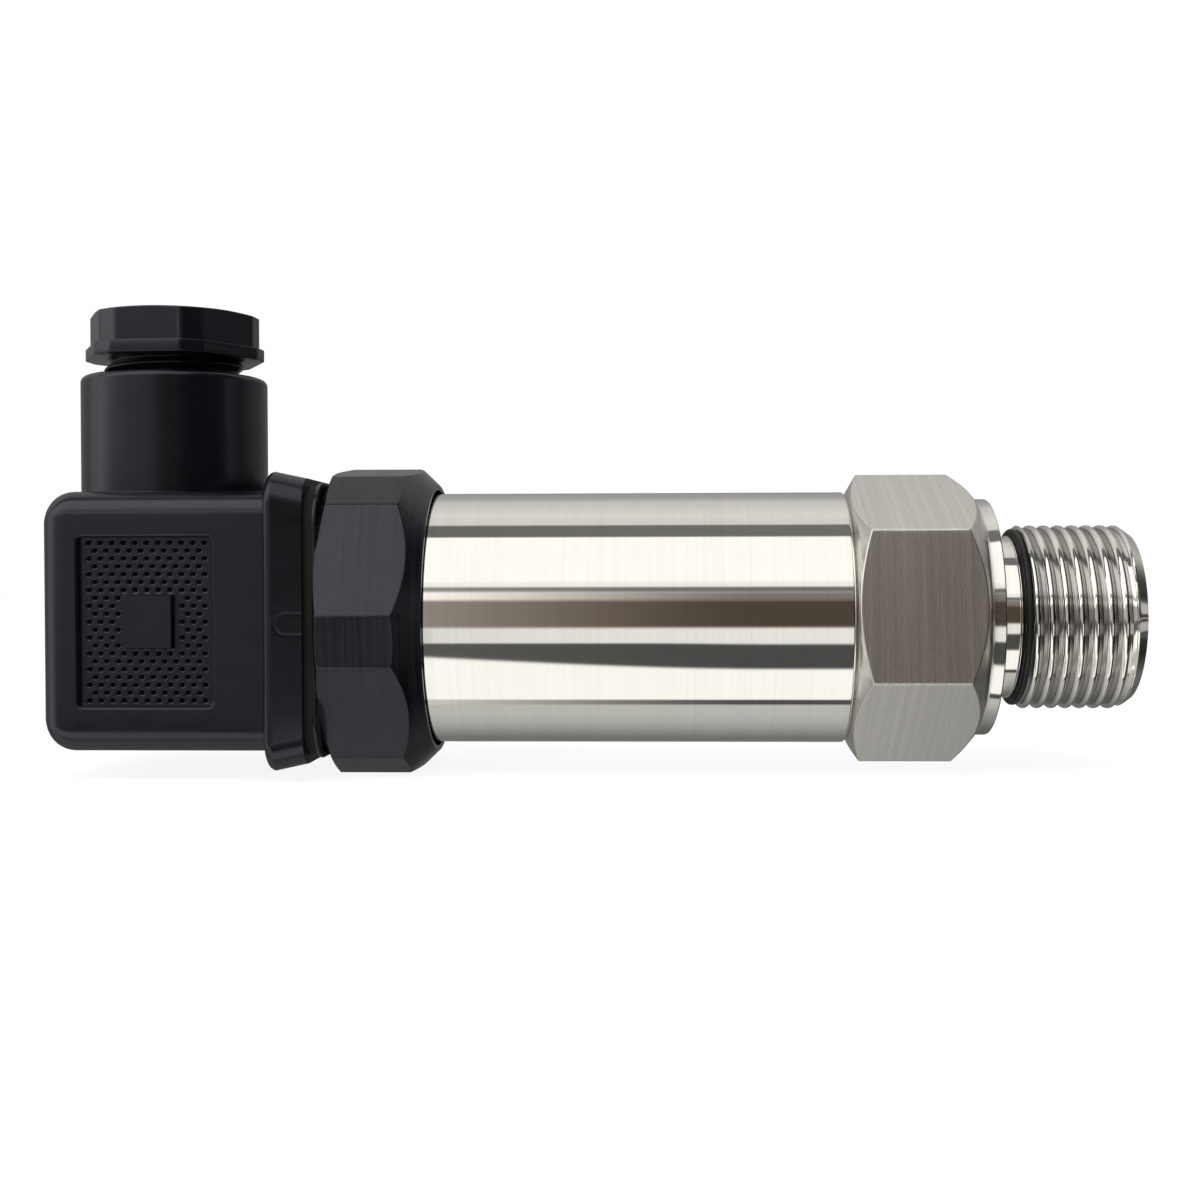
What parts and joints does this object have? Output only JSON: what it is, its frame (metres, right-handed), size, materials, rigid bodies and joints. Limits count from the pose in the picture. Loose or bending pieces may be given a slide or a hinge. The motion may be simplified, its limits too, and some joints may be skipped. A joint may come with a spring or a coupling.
{
  "type": "pressure sensor",
  "caption": "Cylindrical steel pressure transmitter with a threaded process connection, a hexagon, and a right-angle plug-in connector with a cable gland.",
  "frame": {"origin": "centre of the sealing face of the process connection, where its collar ring meets the neck of the thread", "axes": "+X along the body's axis out of the process thread, +Z along the cable gland's axis out of the plug, +Y away from the side with the recessed panel"},
  "size_m": [0.1137, 0.034, 0.0495],
  "materials": {
    "steel_process": "turned and brushed stainless steel",
    "steel_tube": "fine-turned bright stainless steel",
    "steel_cell": "machined stainless steel",
    "plastic_base": "machined glass-filled polyamide, streaked",
    "plastic_hood": "satin moulded polyamide",
    "plastic_block": "moulded polyamide",
    "plastic_gland": "moulded polyamide",
    "nitrile": "smooth nitrile rubber",
    "gasket_rubber": "moulded nitrile rubber",
    "gland_rubber": "soft chloroprene rubber",
    "brass_bare": "machined brass",
    "contact_tin": "tin-plated brass",
    "screw_zinc": "zinc-plated steel",
    "board_laminate": "green lacquered glass-epoxy board",
    "chip_plastic": "moulded epoxy",
    "flex_film": "amber polyimide film"
  },
  "bodies": {
    "sensor_body": {"process_connection": "steel_process", "neck_seal_ring": "nitrile", "sensor_cell": "steel_cell", "cell_seal_ring": "nitrile", "cell_retaining_ring": "steel_cell", "cell_flex_cable": "flex_film", "body_tube": "steel_tube", "connector_base": "plastic_base", "base_seal_ring": "nitrile", "screw_insert": "brass_bare", "amplifier_board": "board_laminate", "board_chips": "chip_plastic", "flat_gasket": "gasket_rubber", "contact_blade_1": "contact_tin", "contact_blade_2": "contact_tin", "contact_blade_3": "contact_tin", "contact_blade_earth": "contact_tin"},
    "plug": {"connector_hood": "plastic_hood", "terminal_block": "plastic_block", "terminal_screws": "screw_zinc", "gland_seal": "gland_rubber", "contact_socket_1": "contact_tin", "contact_socket_2": "contact_tin", "contact_socket_3": "contact_tin", "contact_socket_earth": "contact_tin"},
    "gland_washer": {"thrust_washer": "plastic_gland"},
    "gland_nut": {"gland_nut": "plastic_gland"},
    "screw_washer": {"screw_washer": "gasket_rubber"},
    "fixing_screw": {"fixing_screw": "screw_zinc"}
  },
  "joints": [
    {"name": "plug_pull", "type": "slide", "parent": "sensor_body", "child": "plug", "axis": [-1, 0, 0], "range_m": [0, 0.02]},
    {"name": "gland_travel", "type": "slide", "parent": "plug", "child": "gland_washer", "axis": [0, 0, 1], "range_m": [-0.00141, 0.00423], "deforming": ["gland_seal"]},
    {"name": "gland_turn", "type": "hinge", "parent": "gland_washer", "child": "gland_nut", "pos_m": [-0.088, 0, 0.03], "axis": [0, 0, 1], "range_deg": [-360, 1080]},
    {"name": "screw_travel", "type": "slide", "parent": "plug", "child": "screw_washer", "axis": [-1, 0, 0], "range_m": [0, 0.005]},
    {"name": "screw_turn", "type": "hinge", "parent": "screw_washer", "child": "fixing_screw", "pos_m": [-0.097, 0, 0], "axis": [-1, 0, 0], "range_deg": [0, 3600]}
  ],
  "couplings": [
    {"joint": "gland_turn", "follows": "gland_travel", "rad_per_m": 4456.2},
    {"joint": "screw_turn", "follows": "screw_travel", "rad_per_m": 12566}
  ]
}
